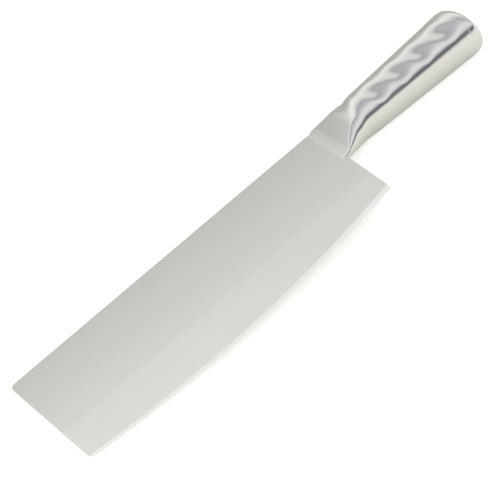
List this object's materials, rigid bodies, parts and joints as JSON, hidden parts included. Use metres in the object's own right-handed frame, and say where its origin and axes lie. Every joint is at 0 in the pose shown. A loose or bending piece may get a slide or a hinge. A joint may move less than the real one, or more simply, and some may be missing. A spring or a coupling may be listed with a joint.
{
  "type": "chinese cleaver",
  "caption": "Cleaver with a tall flat steel blade, a gently curved edge and a hollow pressed steel handle with finger dents.",
  "frame": {"origin": "centre of the whole knife's box; the blade's middle plane is the XY plane", "axes": "+X along the knife from the blade's front end to the handle's butt, +Y from the edge to the spine, +Z square to the blade's face"},
  "size_m": [0.3008, 0.0904, 0.0294],
  "materials": {
    "satin_steel": "satin, fine grinding marks",
    "polished_steel": "polished",
    "ground_weld": "ground flush"
  },
  "bodies": {
    "root": {"blade": "satin_steel", "handle_tube": "polished_steel", "end_cap": "polished_steel", "neck_weld": "ground_weld", "cap_weld": "ground_weld"}
  },
  "joints": []
}
